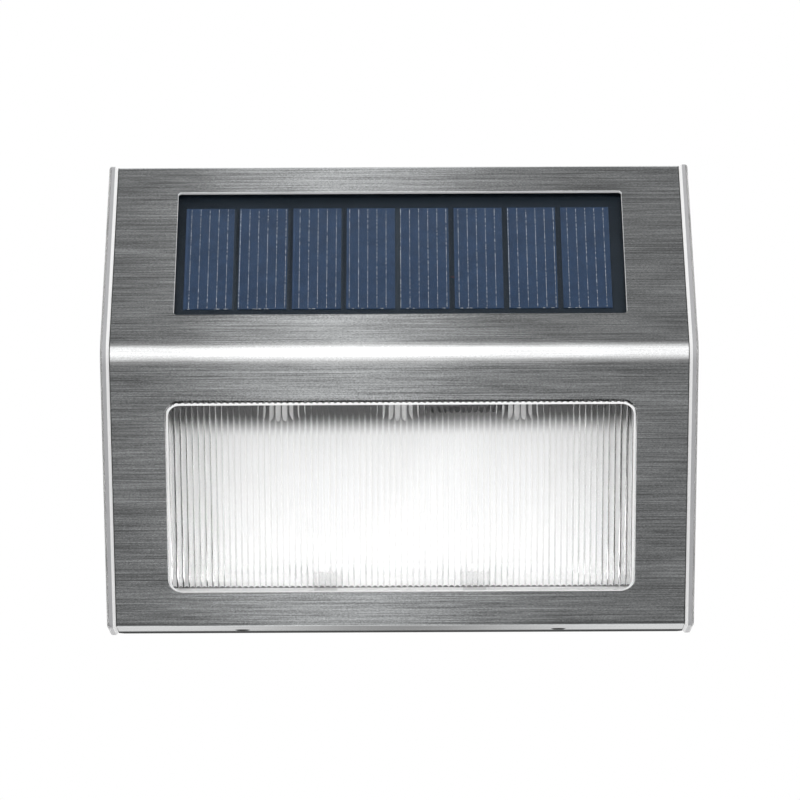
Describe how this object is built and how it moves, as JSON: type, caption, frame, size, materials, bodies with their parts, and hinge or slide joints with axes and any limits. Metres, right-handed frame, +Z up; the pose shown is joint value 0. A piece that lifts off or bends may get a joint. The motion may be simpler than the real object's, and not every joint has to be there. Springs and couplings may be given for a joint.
{
  "type": "solar fence light",
  "caption": "Solar fence light: folded brushed cover with a solar panel above a fluted clear lens, clear end caps, and a wall bracket it pulls off.",
  "frame": {"origin": "on the fence plane, at mid height of the lamp and on its centre line", "axes": "+X to the viewer's right, -Y out from the fence towards the viewer, +Z up"},
  "size_m": [0.12, 0.0475, 0.097],
  "materials": {
    "brushed_sheet": "horizontal brushed grain",
    "clear_plastic": "satin clear moulding",
    "lens_plastic": "clear moulding, fluted inside",
    "foam": "closed-cell foam",
    "silicon": "dark blue silicon with silver lines",
    "resin": "clear cast coat",
    "panel_black": "dark board",
    "white_plastic": "white moulding",
    "led_epoxy": "clear epoxy",
    "tinned_wire": "tinned",
    "board_green": "solder resist",
    "chip_black": "moulded",
    "coil_ferrite": "lacquered",
    "capacitor_can": "sleeved",
    "switch_can": "stamped",
    "slider_black": "moulded",
    "battery_sleeve": "plain shrink sleeve",
    "nickel_strip": "nickel plated",
    "grey_plastic": "fine texture",
    "screw_steel": "zinc plated",
    "wire_sleeve": "thin insulation",
    "bracket_steel": "plain rolled sheet"
  },
  "bodies": {
    "bracket": {"wall_bracket": "bracket_steel"},
    "lamp": {"front_cover": "brushed_sheet", "left_end_cap": "clear_plastic", "right_end_cap": "clear_plastic", "lens": "lens_plastic", "lens_seal": "foam", "panel_seal": "foam", "solar_cells": "silicon", "panel_resin": "resin", "panel_board": "panel_black", "reflector": "white_plastic", "leds": "led_epoxy", "led_leads": "tinned_wire", "led_board": "board_green", "control_board": "board_green", "control_chip": "chip_black", "charge_coil": "coil_ferrite", "board_capacitor": "capacitor_can", "switch_body": "switch_can", "battery": "battery_sleeve", "battery_contact_plus": "nickel_strip", "battery_contact_spring": "nickel_strip", "back_cover": "grey_plastic", "case_screws": "screw_steel", "battery_door": "grey_plastic", "panel_wires": "wire_sleeve", "led_wires": "wire_sleeve", "battery_wires": "wire_sleeve"},
    "slider": {"switch_slider": "slider_black"}
  },
  "joints": [
    {"name": "lamp_pull_off", "type": "slide", "parent": "bracket", "child": "lamp", "axis": [0, -1, 0], "range_m": [0, 0.06]},
    {"name": "switch_slide", "type": "slide", "parent": "lamp", "child": "slider", "axis": [1, 0, 0], "range_m": [0, 0.002]}
  ]
}
